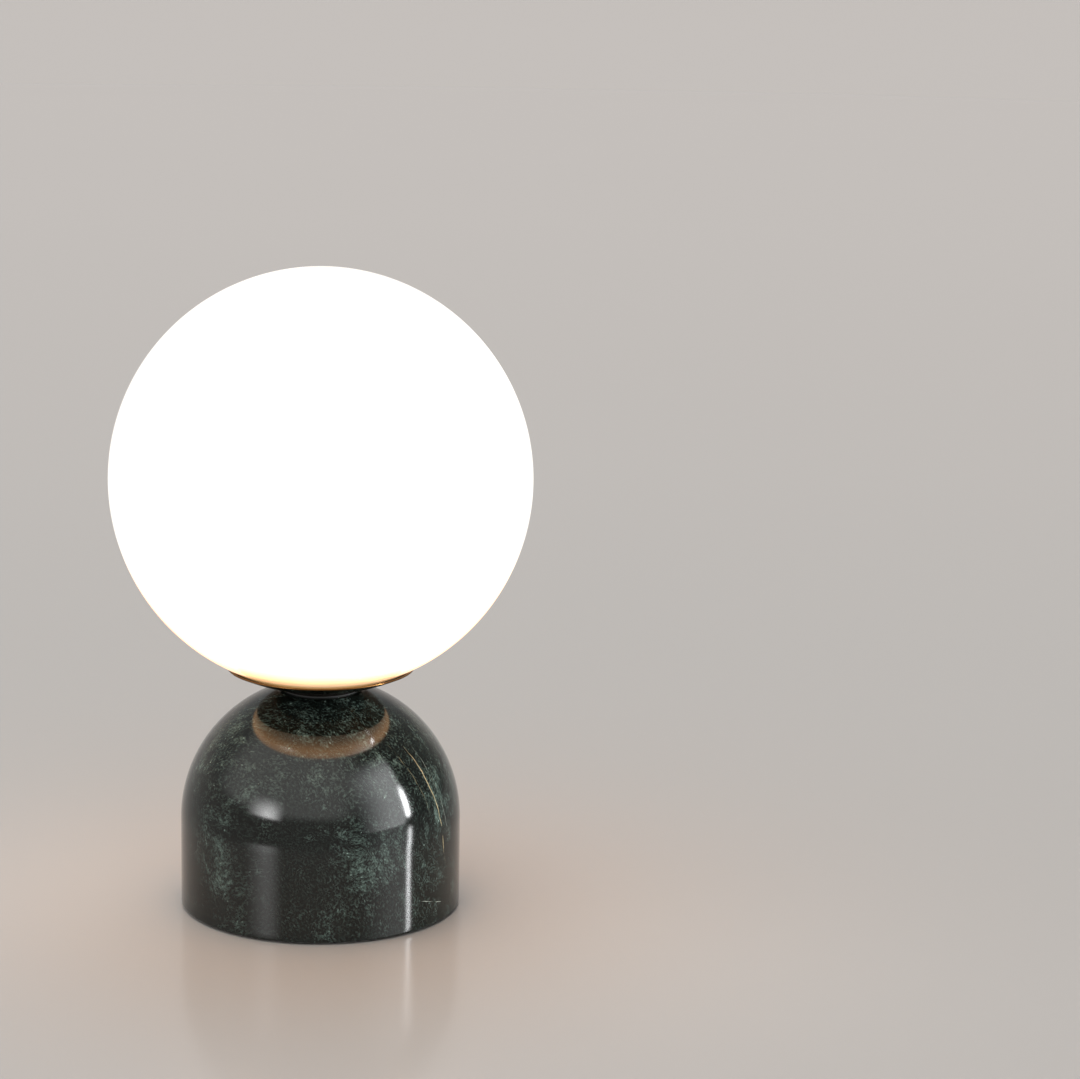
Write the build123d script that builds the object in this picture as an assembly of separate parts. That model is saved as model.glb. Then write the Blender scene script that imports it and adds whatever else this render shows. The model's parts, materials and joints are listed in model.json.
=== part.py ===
from build123d import *
import math
import os

# Globe table lamp: an opal glass ball in a brass dish on a green marble base.
# Millimetres. Z is up, the origin is on the table under the middle of the base,
# and the cord's inlet is at the back, on the +Y side.

# Overall form, as it is seen from outside
GLOBE_R = 100.0
GLOBE_Z = 208.0
GLASS_WALL = 3.0
GLOBE_HOLE_R = 33.0
BASE_R = 67.0
BASE_SHOULDER_Z = 42.5
BASE_TOP_Z = 106.0
PAD_T = 1.0
DISH_RIM_R = 44.2
DISH_WALL = 0.8
GASKET_T = 0.4
# Room between pieces that move apart
CLEARANCE = 0.3

# Wiring recess and bottom cover
RECESS_R = 38.0
RECESS_TOP_Z = 28.0
COVER_R = 45.5
COVER_T = 2.0
COVER_Z = PAD_T + 0.6
COVER_SEAT_Z = COVER_Z + COVER_T
COVER_SCREW_PCD_R = 42.0
COVER_SCREW_ANGLES = (30, 150, 270)
M3_R = 1.5
M3_HEAD_R = 2.8
INSERT_R = 2.5
INSERT_H = 8.0

# Cable inlet at the back of the base
GLAND_Z = 14.0
GLAND_BORE_R = 3.3
GLAND_THREAD_R = 5.0
GLAND_FLANGE_R = 7.5
GLAND_SEAT_Y = 65.5
GLAND_OUT_Y = 68.5
GLAND_POCKET_Y = 52.0
GLAND_IN_Y = 45.0

# Stack on the threaded tube, M10 x 1
TUBE_R = 5.0
TUBE_BORE_R = 3.5
TUBE_LOW_Z = 18.0
TUBE_TOP_Z = 117.0
NUT_FLATS = 14.0
NUT_H = 4.0
DISC_R = 30.0
DISC_T = 2.0
LOCK_T = 1.2
DISH_SEAT_R = 18.5
DISH_GASKET_T = 0.6

# Gallery in the dish: a plate with three leaf springs that grip the glass
PLATE_R = 17.0
PLATE_T = 1.0
SPRING_ANGLES = (30, 150, 270)
SPRING_T = 0.5
SPRING_W = 8.0
RIVET_R = 1.2
RIVET_X = 13.0

# Lampholder for an E27 bulb
HOLDER_Z = 112.9
HOLDER_R = 19.8
HOLDER_BORE_R = 17.6
CORE_R = 16.4
CORE_Z = 128.0
CORE_H = 8.0
HOLDER_TOP_Z = 165.0
TERMINAL_X = 10.8
LEAD_HOLE_X = 7.4

# E27 thread: a rounded ridge on a sheet-metal shell
THREAD_PITCH = 3.629
THREAD_CORE_R = 12.1
THREAD_RIDGE_R = 1.05
THREAD_BORE_R = 11.4
NUT_THREAD_R = 13.35
NUT_THREAD_OUT_R = 13.9
NUT_RIDGE_R = 1.0
THREAD_TURNS = 4.5

# LED globe bulb, 45 mm
BULB_TIP_Z = 140.0
SHELL_Z = 145.0
SHELL_TOP_Z = 166.0
BULB_R = 22.5
BULB_TOP_Z = 219.0
BULB_WALL = 1.2
BOARD_Z = 182.0
LED_BOARD_R = 17.2
LED_BOARD_T = 1.2
COLLAR_TOP_Z = 184.5

# Internal leads
LEAD_R = 1.1
BLOCK_X = 20.0
BLOCK_Z = 12.0
POLE_OFF_X = 6.3
POLE_Z = 18.0
POLE_R = 2.6
WIRE_SCREW_Y = 4.5
WIRE_SCREW_R = 1.3

DISH_IN_R = GLOBE_R + CLEARANCE + GASKET_T
DISH_OUT_R = DISH_IN_R + DISH_WALL
DISH_SEAT_Z = BASE_TOP_Z + DISH_GASKET_T
DISH_FLOOR_Z = DISH_SEAT_Z + DISH_WALL
PLATE_TOP_Z = DISH_FLOOR_Z + PLATE_T
DISC_Z = RECESS_TOP_Z - DISC_T
BULB_Z = BULB_TOP_Z - BULB_R


def ring(radius, low, high, bore=0.0, x=0.0, y=0.0):
    """Upright disc or ring between two heights."""
    body = Cylinder(radius, high - low, align=(Align.CENTER, Align.CENTER, Align.MIN))
    if bore > 0:
        body -= Cylinder(bore, high - low, align=(Align.CENTER, Align.CENTER, Align.MIN))
    return Pos(x, y, low) * body


def rod(radius, start, end, z):
    """Round bar along Y at x = 0, between two y values."""
    bar = Cylinder(radius, end - start, align=(Align.CENTER, Align.CENTER, Align.MIN))
    return Pos(0, start, z) * Rot(-90, 0, 0) * bar


def turned(*edges):
    """Solid of revolution about Z from edges drawn as (radius, height)."""
    return revolve(Plane.XZ * make_face(edges), Axis.Z)


def turned_points(*points):
    """Solid of revolution about Z from a closed outline of straight lines."""
    return turned(Polyline(*points, close=True))


def sphere_height(radius, r):
    """Height at which a sphere about the globe's centre has the radius r, below it."""
    return GLOBE_Z - math.sqrt(radius**2 - r**2)


def sphere_arc(radius, r_start, r_end):
    """Arc on a sphere about the globe's centre, below it, between two radii from the axis."""
    middle = (r_start + r_end) / 2
    spots = [(r, sphere_height(radius, r)) for r in (r_start, middle, r_end)]
    return ThreePointArc(*spots)


def cap_arc(radius, rim_z, pole_z):
    """Arc of a shallow domed cap, from its rim to its pole on the axis."""
    height = pole_z - rim_z
    sphere_r = (radius**2 + height**2) / (2 * abs(height))
    centre_z = pole_z - math.copysign(sphere_r, height)
    half = math.asin(radius / sphere_r) / 2
    middle = sphere_r * math.sin(half), centre_z + math.copysign(sphere_r * math.cos(half), height)
    return ThreePointArc((radius, rim_z), middle, (0, pole_z))


def strip(line, thickness, width):
    """Sheet-metal strip: a centre line drawn as (x, z), given thickness and width along Y."""
    outline = Plane.XZ * trace(line, line_width=thickness)
    return extrude(outline, amount=width / 2, dir=(0, 1, 0), both=True)


def hex_nut(low, high, bore, flats=NUT_FLATS):
    """Hexagonal nut with chamfered corners."""
    blank = extrude(RegularPolygon(flats / 2, 6, major_radius=False), amount=high - low)
    blank &= chamfer(ring(flats / 2 * 1.12, 0, high - low).edges(), 0.6)
    return Pos(0, 0, low) * blank - ring(bore, low, high)


def cross_slot(x, y, low, depth, length, width=0.8):
    """Cross recess cutter for a screw head, upwards from a height."""
    at_bottom = (Align.CENTER, Align.CENTER, Align.MIN)
    cutter = Box(length, width, depth, align=at_bottom) + Box(width, length, depth, align=at_bottom)
    return Pos(x, y, low) * cutter


def around(angles, piece):
    """Copies of a piece, turned about Z."""
    return Compound([solid for a in angles for solid in (Rot(0, 0, a) * piece).solids()])


def marble_base():
    """One turned block of stone: bore, wiring recess, cover seat and cable hole."""
    flat_r = math.sqrt(BASE_R**2 - (BASE_TOP_Z - BASE_SHOULDER_Z) ** 2)
    diagonal = BASE_R * math.cos(math.radians(40)), BASE_SHOULDER_Z + BASE_R * math.sin(math.radians(40))
    bevel = 0.8
    bore_r = TUBE_R + 0.5
    edges = (
        Line((bore_r, BASE_TOP_Z), (flat_r, BASE_TOP_Z)),
        ThreePointArc((flat_r, BASE_TOP_Z), diagonal, (BASE_R, BASE_SHOULDER_Z)),
        Polyline(
            (BASE_R, BASE_SHOULDER_Z),
            (BASE_R, PAD_T + bevel),
            (BASE_R - bevel, PAD_T),
            (COVER_R + 0.5, PAD_T),
            (COVER_R + 0.5, COVER_SEAT_Z),
            (RECESS_R, COVER_SEAT_Z),
            (RECESS_R, RECESS_TOP_Z),
            (bore_r, RECESS_TOP_Z),
            (bore_r, BASE_TOP_Z),
        ),
    )
    stone = turned(*edges)
    stone -= rod(GLAND_THREAD_R, 0, BASE_R + 5, GLAND_Z)
    stone -= rod(9.5, RECESS_R - 5, GLAND_POCKET_Y, GLAND_Z)
    stone -= rod(GLAND_FLANGE_R + 0.5, GLAND_SEAT_Y, BASE_R + 5, GLAND_Z)
    for angle in COVER_SCREW_ANGLES:
        hole = ring(INSERT_R, COVER_SEAT_Z, COVER_SEAT_Z + INSERT_H + 2, x=COVER_SCREW_PCD_R)
        stone -= Rot(0, 0, angle) * hole
    return stone


def foot_pad():
    """Thin ring glued under the stone, around the cover."""
    return ring(BASE_R - 3, 0, PAD_T, bore=COVER_R + 1.5)


def bottom_cover():
    """Plate that closes the wiring recess, with three countersunk holes."""
    plate = ring(COVER_R, COVER_Z, COVER_SEAT_Z)
    for angle in COVER_SCREW_ANGLES:
        plate -= Rot(0, 0, angle) * screw_blank()
    return plate


def screw_blank():
    """Countersunk M3 screw, head down, at the first cover hole before turning."""
    head_h = M3_HEAD_R - M3_R
    profile = (
        (0, COVER_Z),
        (M3_HEAD_R, COVER_Z),
        (M3_R, COVER_Z + head_h),
        (M3_R, COVER_SEAT_Z + INSERT_H - 1),
        (0, COVER_SEAT_Z + INSERT_H - 1),
    )
    return Pos(COVER_SCREW_PCD_R, 0, 0) * turned_points(*profile)


def cover_screws():
    """Three countersunk screws with cross recesses."""
    screw = screw_blank() - cross_slot(COVER_SCREW_PCD_R, 0, COVER_Z, 1.0, 3.2)
    return around(COVER_SCREW_ANGLES, screw)


def cover_inserts():
    """Three threaded brass inserts glued into the stone."""
    insert = ring(INSERT_R, COVER_SEAT_Z, COVER_SEAT_Z + INSERT_H, x=COVER_SCREW_PCD_R)
    return around(COVER_SCREW_ANGLES, insert - screw_blank())


def cable_gland():
    """Inlet bush through the back wall, with a rounded outer mouth."""
    bush = rod(GLAND_THREAD_R, GLAND_IN_Y, GLAND_SEAT_Y, GLAND_Z)
    flange = rod(GLAND_FLANGE_R, GLAND_SEAT_Y, GLAND_OUT_Y, GLAND_Z)
    flange = fillet(flange.edges().sort_by(Axis.Y)[-1], 1.5)
    return bush + flange - rod(GLAND_BORE_R, GLAND_IN_Y, GLAND_OUT_Y, GLAND_Z)


def gland_nut():
    """Hexagonal nut on the inlet bush, inside the recess pocket."""
    nut = hex_nut(0, NUT_H, GLAND_THREAD_R)
    return Pos(0, GLAND_POCKET_Y - NUT_H, GLAND_Z) * Rot(-90, 0, 0) * nut


def threaded_tube():
    """Hollow tube that holds the whole lamp together and carries the leads."""
    return ring(TUBE_R, TUBE_LOW_Z, TUBE_TOP_Z, bore=TUBE_BORE_R)


def mounting_disc():
    """Steel disc against the roof of the recess, with a hole for the block's screw."""
    return ring(DISC_R, DISC_Z, RECESS_TOP_Z, bore=TUBE_R) - ring(M3_R, DISC_Z, RECESS_TOP_Z, x=BLOCK_X)


def lock_washer():
    """Split spring washer under the base nut."""
    washer = ring(8.5, DISC_Z - LOCK_T, DISC_Z, bore=TUBE_R)
    return washer - Pos(-7, 0, DISC_Z - LOCK_T / 2) * Rot(0, 0, 20) * Box(6, 1.2, LOCK_T * 2)


def terminal_block():
    """Two-pole connector block under the mounting disc."""
    length, width = 20.0, 17.0
    body = Box(length, width, DISC_Z - BLOCK_Z, align=(Align.CENTER, Align.CENTER, Align.MIN))
    body = fillet(body.edges().filter_by(Axis.Z), 1.5)
    body = Pos(BLOCK_X, 0, BLOCK_Z) * body
    body -= ring(M3_R, BLOCK_Z, DISC_Z, x=BLOCK_X) + ring(M3_HEAD_R, BLOCK_Z, BLOCK_Z + 3, x=BLOCK_X)
    for side in (-1, 1):
        x = BLOCK_X + side * POLE_OFF_X
        body -= Pos(x, 0, 0) * rod(POLE_R, -width, width, POLE_Z)
        for y in (-WIRE_SCREW_Y, WIRE_SCREW_Y):
            body -= ring(WIRE_SCREW_R + 0.4, BLOCK_Z, POLE_Z, x=x, y=y)
    return body


def terminal_tubes():
    """The two brass clamps inside the block."""
    half_length, wire_bore_r = 7.0, 1.5
    tubes = []
    for side in (-1, 1):
        x = BLOCK_X + side * POLE_OFF_X
        blank = rod(POLE_R, -half_length, half_length, POLE_Z)
        tube = Pos(x, 0, 0) * (blank - rod(wire_bore_r, -half_length, half_length, POLE_Z))
        for y in (-WIRE_SCREW_Y, WIRE_SCREW_Y):
            tube -= ring(WIRE_SCREW_R, BLOCK_Z, POLE_Z, x=x, y=y)
        tubes.append(tube.solid())
    return Compound(tubes)


def terminal_screws():
    """Four slotted wire screws, reached from below."""
    head_z, point_z = BLOCK_Z + 1.5, POLE_Z - 1.2
    screws = []
    for side in (-1, 1):
        x = BLOCK_X + side * POLE_OFF_X
        for y in (-WIRE_SCREW_Y, WIRE_SCREW_Y):
            screw = ring(WIRE_SCREW_R, head_z, point_z, x=x, y=y)
            screw -= Pos(x, y, head_z) * Box(3, 0.6, 1.6)
            screws.append(screw.solid())
    return Compound(screws)


def block_screw():
    """Pan-head screw that fixes the block to the disc."""
    screw = ring(M3_R, BLOCK_Z + 3, RECESS_TOP_Z, x=BLOCK_X)
    screw += ring(M3_HEAD_R - 0.2, BLOCK_Z + 1, BLOCK_Z + 3, x=BLOCK_X)
    return screw - cross_slot(BLOCK_X, 0, BLOCK_Z + 1, 1.0, 3.0)


def lead(side, core_top):
    """Internal wire: block, round below the tube, up through it, to the lampholder's core."""
    pole_x = BLOCK_X + side * POLE_OFF_X
    tube_x = side * 1.6
    core_x = side * LEAD_HOLE_X
    route = (
        (pole_x, -4.0, POLE_Z),
        (pole_x, -15.0, POLE_Z),
        (pole_x * 0.6, -17.0, 8.5),
        (tube_x, -9.0, 5.5),
        (tube_x, 0.0, 9.5),
        (tube_x, 0.0, TUBE_TOP_Z + 0.5),
        (core_x, 0.0, CORE_Z - 4.2),
        (core_x, 0.0, core_top),
    )
    path = FilletPolyline(*route, radius=[3.0, 3.5, 3.5, 3.0, 3.0, 2.2])
    return sweep(Plane(origin=path @ 0, z_dir=path % 0) * Circle(LEAD_R), path=path)


def dish_gasket():
    """Thin ring between brass and stone."""
    return ring(DISH_SEAT_R - 0.5, BASE_TOP_Z, DISH_SEAT_Z, bore=TUBE_R + 2)


def brass_dish():
    """Spun dish: a flat seat, a step, and a bowl concentric with the globe."""
    step_r = DISH_SEAT_R + 2.8
    rim_scale = DISH_OUT_R / DISH_IN_R
    rim_out_r = DISH_RIM_R * rim_scale
    outer_low = (step_r, sphere_height(DISH_OUT_R, step_r))
    inner_low = (step_r - 0.4, sphere_height(DISH_IN_R, step_r - 0.4))
    rim_in = (DISH_RIM_R, sphere_height(DISH_IN_R, DISH_RIM_R))
    rim_out = (rim_out_r, sphere_height(DISH_OUT_R, rim_out_r))
    bulge_r, bulge_z = 0.18, 0.36
    rim_tip = ((rim_in[0] + rim_out[0]) / 2 + bulge_r, (rim_in[1] + rim_out[1]) / 2 + bulge_z)
    return turned(
        Polyline((TUBE_R, DISH_FLOOR_Z), (TUBE_R, DISH_SEAT_Z), (DISH_SEAT_R, DISH_SEAT_Z), outer_low),
        sphere_arc(DISH_OUT_R, step_r, rim_out_r),
        ThreePointArc(rim_out, rim_tip, rim_in),
        sphere_arc(DISH_IN_R, DISH_RIM_R, step_r - 0.4),
        Polyline(inner_low, (DISH_SEAT_R - 0.6, DISH_FLOOR_Z), (TUBE_R, DISH_FLOOR_Z)),
    )


def gallery_plate():
    """Steel plate clamped in the dish, which the springs are riveted to."""
    plate = ring(PLATE_R, DISH_FLOOR_Z, PLATE_TOP_Z, bore=TUBE_R)
    rivet_hole = ring(RIVET_R, DISH_FLOOR_Z, PLATE_TOP_Z, x=RIVET_X)
    for angle in SPRING_ANGLES:
        plate -= Rot(0, 0, angle) * rivet_hole
    return plate


def gallery_springs():
    """Three leaf springs that rise through the globe's opening and grip its edge."""
    flat_z = PLATE_TOP_Z + SPRING_T / 2
    corner_r = GLOBE_HOLE_R - CLEARANCE
    upright_r = math.sqrt(corner_r**2 - (SPRING_W / 2) ** 2) - SPRING_T / 2
    foot_in_r, foot_out_r = 9.8, 16.5
    line = FilletPolyline(
        (foot_in_r, flat_z),
        (foot_out_r, flat_z),
        (upright_r, 113.8),
        (upright_r, 122.0),
        (upright_r - 4.0, 129.0),
        radius=[4.0, 2.5, 6.0],
    )
    spring = strip(line, SPRING_T, SPRING_W) - ring(RIVET_R, DISH_FLOOR_Z, flat_z + 1, x=RIVET_X)
    return around(SPRING_ANGLES, spring)


def spring_rivets():
    """Three rivets through springs and plate."""
    head_z = PLATE_TOP_Z + SPRING_T
    head_r, head_h = 2.2, 1.0
    shank = (0, DISH_FLOOR_Z), (RIVET_R, DISH_FLOOR_Z), (RIVET_R, head_z)
    head = cap_arc(head_r, head_z, head_z + head_h)
    rivet = turned(Polyline((0, head_z + head_h), *shank, (head_r, head_z)), head)
    return around(SPRING_ANGLES, Pos(RIVET_X, 0, 0) * rivet)


def globe_gasket():
    """Soft ring on the dish, which the glass rests on."""
    low_r, high_r = GLOBE_HOLE_R + 2, DISH_RIM_R - 2.5
    inner_r = GLOBE_R + CLEARANCE
    low = (low_r, sphere_height(DISH_IN_R, low_r)), (low_r, sphere_height(inner_r, low_r))
    high = (high_r, sphere_height(inner_r, high_r)), (high_r, sphere_height(DISH_IN_R, high_r))
    return turned(
        Line(*low),
        sphere_arc(inner_r, low_r, high_r),
        Line(*high),
        sphere_arc(DISH_IN_R, high_r, low_r),
    )


def glass_globe():
    """Blown ball of opal glass with one ground opening underneath."""
    glass = Sphere(GLOBE_R) - Sphere(GLOBE_R - GLASS_WALL)
    glass = Pos(0, 0, GLOBE_Z) * glass - ring(GLOBE_HOLE_R, 90, 140)
    mouth = glass.edges().filter_by(GeomType.CIRCLE).sort_by(Axis.Z)[:2]
    return fillet(mouth, 1.2)


def holder_cap():
    """Lower half of the lampholder, screwed on the tube."""
    neck_r, neck_z = 8.0, HOLDER_Z + 2.5
    shoulder_z, lip_z = 123.0, CORE_Z + 4
    well_r, well_floor_r = 14.5, 9.0
    return turned(
        Polyline((TUBE_R, HOLDER_Z), (neck_r, HOLDER_Z), (neck_r, neck_z)),
        ThreePointArc((neck_r, neck_z), (16.3, 117.9), (HOLDER_R, shoulder_z)),
        Polyline(
            (HOLDER_R, shoulder_z),
            (HOLDER_R, CORE_Z),
            (HOLDER_BORE_R, CORE_Z),
            (HOLDER_BORE_R, lip_z),
            (CORE_R, lip_z),
            (CORE_R, CORE_Z),
            (well_r, CORE_Z),
            (well_r, shoulder_z - 1.0),
            (well_floor_r, TUBE_TOP_Z),
            (TUBE_R, TUBE_TOP_Z),
            (TUBE_R, HOLDER_Z),
        ),
    )


def holder_core():
    """Insulating body with the wire holes, the contact seats and a collar for the shell."""
    top = CORE_Z + CORE_H
    seat_z = CORE_Z + 3
    core = ring(CORE_R, CORE_Z, top)
    core += ring(CORE_R, top, top + 3, bore=NUT_THREAD_OUT_R)
    core -= Pos(-6, 0, seat_z) * Box(21, 9, top - seat_z, align=(Align.CENTER, Align.CENTER, Align.MIN))
    for side, roof in ((-1, seat_z), (1, top)):
        core -= ring(LEAD_R, CORE_Z, roof, x=side * LEAD_HOLE_X)
        core -= ring(WIRE_SCREW_R, CORE_Z + 0.8, roof, x=side * TERMINAL_X)
    return core


def side_contact():
    """Threaded brass shell of the lampholder with its terminal tab."""
    low, high = CORE_Z + CORE_H, HOLDER_TOP_Z - 5
    shell = ring(NUT_THREAD_OUT_R, low, high, bore=NUT_THREAD_R)
    valley_z = SHELL_Z + THREAD_RIDGE_R - THREAD_PITCH / 2
    shell += ridge(NUT_THREAD_R + 0.1, NUT_RIDGE_R, THREAD_TURNS - 0.5, valley_z)
    tab = Pos(9.8, 0, low) * Box(8.2, 7, 0.6, align=(Align.CENTER, Align.CENTER, Align.MIN))
    tab &= ring(NUT_THREAD_OUT_R, low, low + 1)
    shell += tab
    return shell - ring(WIRE_SCREW_R, low, low + 1, x=TERMINAL_X)


def ridge(radius, section_r, turns, low):
    """Rounded screw ridge: a circle swept along a helix."""
    helix = Helix(pitch=THREAD_PITCH, height=THREAD_PITCH * turns, radius=radius)
    section = Plane(origin=helix @ 0, x_dir=(1, 0, 0), z_dir=helix % 0) * Circle(section_r)
    return Pos(0, 0, low) * sweep(section, path=helix, is_frenet=True)


def centre_contact():
    """Sprung tongue under the bulb's tip, just clear of it."""
    thickness, width = 0.5, 5.0
    base_z = CORE_Z + 3 + thickness / 2
    tip_z = BULB_TIP_Z - CLEARANCE - thickness / 2
    line = FilletPolyline(
        (-14.5, base_z), (-5.8, base_z), (-1.2, tip_z), (3.2, tip_z - 0.9), radius=[1.6, 1.2]
    )
    tongue = strip(line, thickness, width)
    return tongue - ring(WIRE_SCREW_R, CORE_Z, CORE_Z + 5, x=-TERMINAL_X)


def contact_screws():
    """Two terminal screws, which hold the contacts to the core."""
    screws = []
    for side, top in ((-1, CORE_Z + 3.5), (1, CORE_Z + CORE_H + 0.6)):
        x = side * TERMINAL_X
        head_top = top + 1.2
        screw = ring(WIRE_SCREW_R, CORE_Z + 0.8, top, x=x) + ring(1.7, top, head_top, x=x)
        screw -= Pos(x, 0, head_top) * Box(4, 0.6, 1.2)
        screws.append(screw.solid())
    return Compound(screws)


def holder_barrel():
    """Outer shell of the lampholder, with a rounded lip around the bulb."""
    lip_t, lip_r = 1.6, 14.6
    barrel = ring(HOLDER_R, CORE_Z, HOLDER_TOP_Z)
    barrel = fillet(barrel.edges().sort_by(Axis.Z)[-1], 1.2)
    barrel -= ring(HOLDER_BORE_R, CORE_Z, HOLDER_TOP_Z - lip_t)
    return barrel - ring(lip_r, CORE_Z, HOLDER_TOP_Z)


def bulb_tip():
    """Soldered centre contact of the bulb."""
    tip_r, top = 4.6, BULB_TIP_Z + 2.0
    return turned(Polyline((0, BULB_TIP_Z), (0, top), (tip_r, top)), cap_arc(tip_r, top, BULB_TIP_Z))


def bulb_insulator():
    """Black insulating cone between the tip and the threaded shell."""
    low, high = BULB_TIP_Z + 2.0, SHELL_Z + 1.5
    cone = (5.6, low), (THREAD_BORE_R, SHELL_Z), (THREAD_BORE_R, high)
    return turned_points((0, low), *cone, (0, high))


def bulb_shell():
    """Threaded metal cap of the bulb."""
    shell = ring(THREAD_CORE_R, SHELL_Z, SHELL_TOP_Z)
    shell += ridge(THREAD_CORE_R - 0.05, THREAD_RIDGE_R, THREAD_TURNS, SHELL_Z + THREAD_RIDGE_R)
    return shell - ring(THREAD_BORE_R, SHELL_Z, SHELL_TOP_Z)


def bulb_housing():
    """White collar of the bulb: a spigot in the cap, and a flared body."""
    spigot_z, neck_z, brim_z = 160.0, 168.0, 183.2
    neck_r, brim_r, seat_r, bore_r = 13.9, 19.0, 17.4, 9.8
    return turned(
        Line((THREAD_BORE_R, spigot_z), (THREAD_BORE_R, SHELL_TOP_Z)),
        Polyline((THREAD_BORE_R, SHELL_TOP_Z), (neck_r, SHELL_TOP_Z), (neck_r, neck_z)),
        ThreePointArc((neck_r, neck_z), (15.4, 175.5), (brim_r, brim_z)),
        Polyline(
            (brim_r, brim_z),
            (brim_r, COLLAR_TOP_Z),
            (seat_r, COLLAR_TOP_Z),
            (seat_r, BOARD_Z),
            (14.6, BOARD_Z),
            (12.4, neck_z + 2),
            (bore_r, neck_z),
            (bore_r, spigot_z),
            (THREAD_BORE_R, spigot_z),
        ),
    )


def driver_board():
    """Small upright circuit board of the bulb, with its capacitor and coil."""
    at_bottom = (Align.CENTER, Align.CENTER, Align.MIN)
    board = Pos(0, 0, 162) * Box(16, 1.2, 18, align=at_bottom)
    capacitor = Pos(3.4, 4.1, 167) * Cylinder(3.2, 11, align=at_bottom)
    coil = Pos(-3.6, 3.4, 168) * Box(6, 5.6, 7, align=at_bottom)
    return Compound([board, capacitor, coil])


def led_board():
    """Aluminium disc that carries the light sources."""
    return ring(LED_BOARD_R, BOARD_Z, BOARD_Z + LED_BOARD_T)


def led_chips():
    """Eight light-emitting chips in a circle."""
    circle_r = 11.0
    chip = Box(3.0, 3.0, 0.8, align=(Align.CENTER, Align.CENTER, Align.MIN))
    return around(range(0, 360, 45), Pos(circle_r, 0, BOARD_Z + LED_BOARD_T) * chip)


def bulb_dome():
    """Frosted ball of the bulb, with a short neck on the collar."""
    ball = Sphere(BULB_R) - Sphere(BULB_R - BULB_WALL)
    return Pos(0, 0, BULB_Z) * ball - ring(BULB_R, BULB_Z - BULB_R, COLLAR_TOP_Z)


SUB_PARTS = {
    "marble_base": marble_base,
    "foot_pad": foot_pad,
    "bottom_cover": bottom_cover,
    "cover_screws": cover_screws,
    "cover_inserts": cover_inserts,
    "cable_gland": cable_gland,
    "gland_nut": gland_nut,
    "threaded_tube": threaded_tube,
    "mounting_disc": mounting_disc,
    "lock_washer": lock_washer,
    "base_nut": lambda: hex_nut(DISC_Z - LOCK_T - NUT_H, DISC_Z - LOCK_T, TUBE_R),
    "terminal_block": terminal_block,
    "terminal_tubes": terminal_tubes,
    "terminal_screws": terminal_screws,
    "block_screw": block_screw,
    "live_lead": lambda: lead(-1, CORE_Z + 3),
    "neutral_lead": lambda: lead(1, CORE_Z + CORE_H),
    "dish_gasket": dish_gasket,
    "brass_dish": brass_dish,
    "gallery_plate": gallery_plate,
    "gallery_springs": gallery_springs,
    "spring_rivets": spring_rivets,
    "dish_nut": lambda: hex_nut(PLATE_TOP_Z, HOLDER_Z, TUBE_R),
    "globe_gasket": globe_gasket,
    "holder_cap": holder_cap,
    "holder_core": holder_core,
    "side_contact": side_contact,
    "centre_contact": centre_contact,
    "contact_screws": contact_screws,
    "holder_barrel": holder_barrel,
    "bulb_tip": bulb_tip,
    "bulb_insulator": bulb_insulator,
    "bulb_shell": bulb_shell,
    "bulb_housing": bulb_housing,
    "driver_board": driver_board,
    "led_board": led_board,
    "led_chips": led_chips,
    "bulb_dome": bulb_dome,
    "glass_globe": glass_globe,
}


os.makedirs("parts", exist_ok=True)
for node, build in SUB_PARTS.items():
    export_step(build(), f"parts/{node}.step")
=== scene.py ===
"""Looks of the globe table lamp: opal glass ball, dark brass dish, polished green marble base."""

import json
import math

import bmesh
import bpy
from mathutils import Matrix, Vector


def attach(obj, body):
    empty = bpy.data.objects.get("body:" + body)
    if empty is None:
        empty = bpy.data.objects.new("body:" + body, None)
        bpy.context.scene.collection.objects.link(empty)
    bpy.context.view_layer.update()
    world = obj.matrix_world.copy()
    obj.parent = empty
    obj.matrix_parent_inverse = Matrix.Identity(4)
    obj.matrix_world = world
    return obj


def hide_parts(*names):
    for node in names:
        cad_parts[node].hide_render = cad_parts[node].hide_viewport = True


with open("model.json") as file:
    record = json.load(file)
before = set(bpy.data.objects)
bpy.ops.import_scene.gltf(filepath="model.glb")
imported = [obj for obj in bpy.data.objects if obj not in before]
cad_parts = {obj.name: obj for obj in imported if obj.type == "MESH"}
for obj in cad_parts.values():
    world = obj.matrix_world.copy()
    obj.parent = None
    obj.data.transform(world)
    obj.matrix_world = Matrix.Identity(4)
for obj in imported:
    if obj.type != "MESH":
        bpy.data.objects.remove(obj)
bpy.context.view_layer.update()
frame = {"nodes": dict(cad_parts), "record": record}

MM = 0.001

# Lamp sizes in millimetres, as the solids have them
GLOBE_R = 100.0
GLOBE_Z = 208.0
GLASS_WALL = 3.0
GLOBE_MOUTH_R = 33.0
GASKET_ROOM = 0.7
BASE_R = 67.0
BASE_SHOULDER_Z = 42.5
BASE_TOP_Z = 106.0
BASE_LOW_Z = 1.0
TUBE_R = 5.0
BORE_R = TUBE_R + 0.5
COVER_R = 45.5
COVER_SEAT_R = COVER_R + 0.5
COVER_SEAT_Z = BASE_LOW_Z + 2.6
PAD_IN_R = COVER_R + 1.5
PAD_OUT_R = BASE_R - 3
RECESS_R = 38.0
RECESS_TOP_Z = 28.0
INLET_Z = 14.0
INLET_HOLE_R = 5.0
INLET_SEAT_R = 8.0
INLET_SEAT_Y = 65.5
DISH_WALL = 0.8
DISH_IN_R = GLOBE_R + GASKET_ROOM
DISH_OUT_R = DISH_IN_R + DISH_WALL
DISH_RIM_R = 44.2
DISH_SEAT_R = 18.5
DISH_STEP_R = DISH_SEAT_R + 2.8
DISH_GASKET_T = 0.6
DISH_SEAT_Z = BASE_TOP_Z + DISH_GASKET_T
DISH_FLOOR_Z = DISH_SEAT_Z + DISH_WALL
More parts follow.
